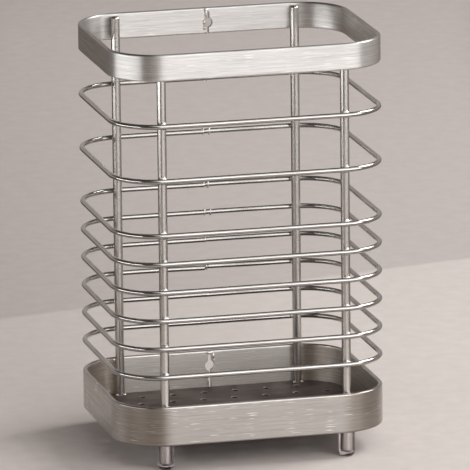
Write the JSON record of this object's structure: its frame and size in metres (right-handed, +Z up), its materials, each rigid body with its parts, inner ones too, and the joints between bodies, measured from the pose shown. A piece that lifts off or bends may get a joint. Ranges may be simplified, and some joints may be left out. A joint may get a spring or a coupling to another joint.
{
  "type": "hanging cutlery drainer",
  "caption": "Tall open rack of round wire rings on upright posts between flat bands, with a punched base, capped feet and keyholes behind; holds cutlery upright to drain.",
  "frame": {"origin": "on the surface it stands on, under the middle of the drainer", "axes": "+Z up, +Y towards the wall it hangs on, +X to the right seen from the front"},
  "size_m": [0.125, 0.096, 0.1894],
  "materials": {
    "brushed_band": "stainless strip, brushed along its length, edges tumbled bright",
    "polished_rod": "stainless wire and rod, drawn and electropolished, not plated",
    "punched_sheet": "punched stainless sheet, mill finish, dull",
    "clear_silicone": "clear moulded silicone, smooth"
  },
  "bodies": {
    "root": {"top_band": "brushed_band", "bottom_band": "brushed_band", "base_plate": "punched_sheet", "post_front_left": "polished_rod", "foot_cap_front_left": "clear_silicone", "post_front_right": "polished_rod", "foot_cap_front_right": "clear_silicone", "post_back_left": "polished_rod", "foot_cap_back_left": "clear_silicone", "post_back_right": "polished_rod", "foot_cap_back_right": "clear_silicone", "wire_ring_1": "polished_rod", "wire_ring_2": "polished_rod", "wire_ring_3": "polished_rod", "wire_ring_4": "polished_rod", "wire_ring_5": "polished_rod", "wire_ring_6": "polished_rod", "wire_ring_7": "polished_rod", "wire_ring_8": "polished_rod"}
  },
  "joints": []
}
